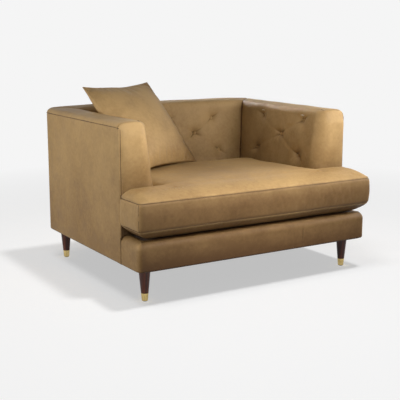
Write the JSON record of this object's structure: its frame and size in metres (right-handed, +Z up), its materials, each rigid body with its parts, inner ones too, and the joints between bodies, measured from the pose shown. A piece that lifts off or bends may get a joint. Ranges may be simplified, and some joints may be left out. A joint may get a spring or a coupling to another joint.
{
  "type": "chesterfield snuggler chair",
  "caption": "Wide upholstered lounge chair with a boxed T-shaped seat cushion between tufted arms and back, on tapered legs.",
  "frame": {"origin": "on the floor under the middle of the chair's box", "axes": "+X to the right as seen from the front, -Y to the front, +Z up"},
  "size_m": [1.266, 1.036, 0.8833],
  "materials": {
    "leather": "semi-aniline tan leather, soft sheen",
    "leg_timber": "dark mahogany, satin lacquer",
    "brass": "brushed",
    "glide_nylon": "matt",
    "frame_timber": "planed, unfinished",
    "hardboard": "smooth face",
    "steel": "zinc plated",
    "foam": "open cell foam in wadding",
    "hessian": "coarse weave",
    "deck_cloth": "plain weave",
    "black_cloth": "thin non-woven",
    "twine": "waxed",
    "zip_tape": "woven tape with nylon coil"
  },
  "bodies": {
    "chair": {"front_rail": "frame_timber", "back_rail": "frame_timber", "side_rail_left": "frame_timber", "side_rail_right": "frame_timber", "centre_rail": "frame_timber", "corner_blocks": "frame_timber", "arm_gable_front_left": "frame_timber", "arm_gable_front_right": "frame_timber", "arm_gable_rear_left": "frame_timber", "arm_gable_rear_right": "frame_timber", "back_post_left": "frame_timber", "back_post_right": "frame_timber", "back_centre_stile": "frame_timber", "arm_top_rail_left": "frame_timber", "arm_top_rail_right": "frame_timber", "back_top_rail": "frame_timber", "arm_tack_rail_left": "frame_timber", "arm_tack_rail_right": "frame_timber", "back_tack_rail": "frame_timber", "frame_dowels": "frame_timber", "side_board_left": "hardboard", "side_board_right": "hardboard", "back_board": "hardboard", "seat_springs": "steel", "spring_clips": "steel", "deck_hessian": "hessian", "deck_pad": "foam", "deck_cover": "deck_cloth", "edge_roll": "foam", "front_border_cover": "leather", "arm_foam_left": "foam", "arm_foam_right": "foam", "back_foam": "foam", "inside_arm_cover_left": "leather", "inside_arm_cover_right": "leather", "inside_back_cover": "leather", "arm_top_pad_left": "foam", "arm_top_pad_right": "foam", "back_top_pad": "foam", "arm_top_cover_left": "leather", "arm_top_cover_right": "leather", "back_top_cover": "leather", "outside_arm_cover_left": "leather", "outside_arm_cover_right": "leather", "outside_back_cover": "leather", "arm_buttons": "leather", "back_buttons": "leather", "button_twines": "twine", "dust_cover": "black_cloth", "legs": "leg_timber", "leg_ferrules": "brass", "leg_glides": "glide_nylon", "hanger_bolts": "steel", "insert_nuts": "steel"},
    "seat_cushion": {"seat_cushion_cover": "leather", "seat_cushion_foam": "foam", "seat_zip": "zip_tape"},
    "zip_slider": {"seat_zip_slider": "brass"},
    "scatter_cushion": {"scatter_cushion_cover": "leather", "scatter_cushion_filling": "foam"}
  },
  "joints": [
    {"name": "seat_cushion_lift", "type": "slide", "parent": "chair", "child": "seat_cushion", "axis": [0, 0, 1], "range_m": [0, 0.5]},
    {"name": "scatter_cushion_lift", "type": "slide", "parent": "seat_cushion", "child": "scatter_cushion", "axis": [0, 0, 1], "range_m": [0, 0.4]},
    {"name": "zip_slide", "type": "slide", "parent": "seat_cushion", "child": "zip_slider", "axis": [1, 0, 0], "range_m": [0, 0.58]}
  ]
}
